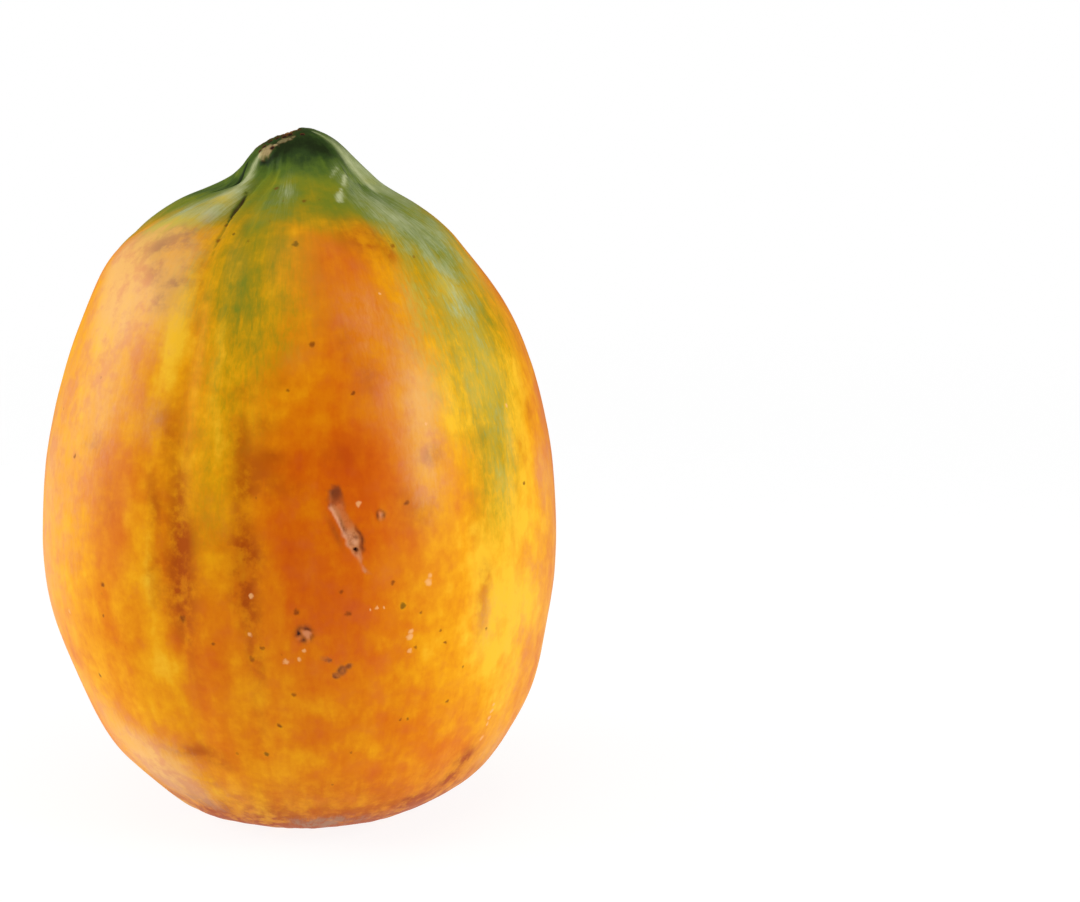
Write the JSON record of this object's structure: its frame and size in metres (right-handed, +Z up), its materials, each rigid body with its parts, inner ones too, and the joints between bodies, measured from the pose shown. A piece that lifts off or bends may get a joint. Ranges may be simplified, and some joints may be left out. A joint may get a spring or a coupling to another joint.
{
  "type": "papaya",
  "caption": "Whole ripe papaya with a lobed, mottled orange and green skin; stands on its stem end with its pointed blossom end up.",
  "frame": {"origin": "on the surface that the fruit stands on, under the middle of its bounding box", "axes": "+Z up, from the stem end to the pointed blossom end; -Y is the side that faces the viewer in the picture"},
  "size_m": [0.1416, 0.1412, 0.19],
  "materials": {
    "skin": "satin waxy skin, orange with yellow lobes, a green tip and green and brown mottling"
  },
  "bodies": {
    "root": {"papaya": "skin"}
  },
  "joints": []
}
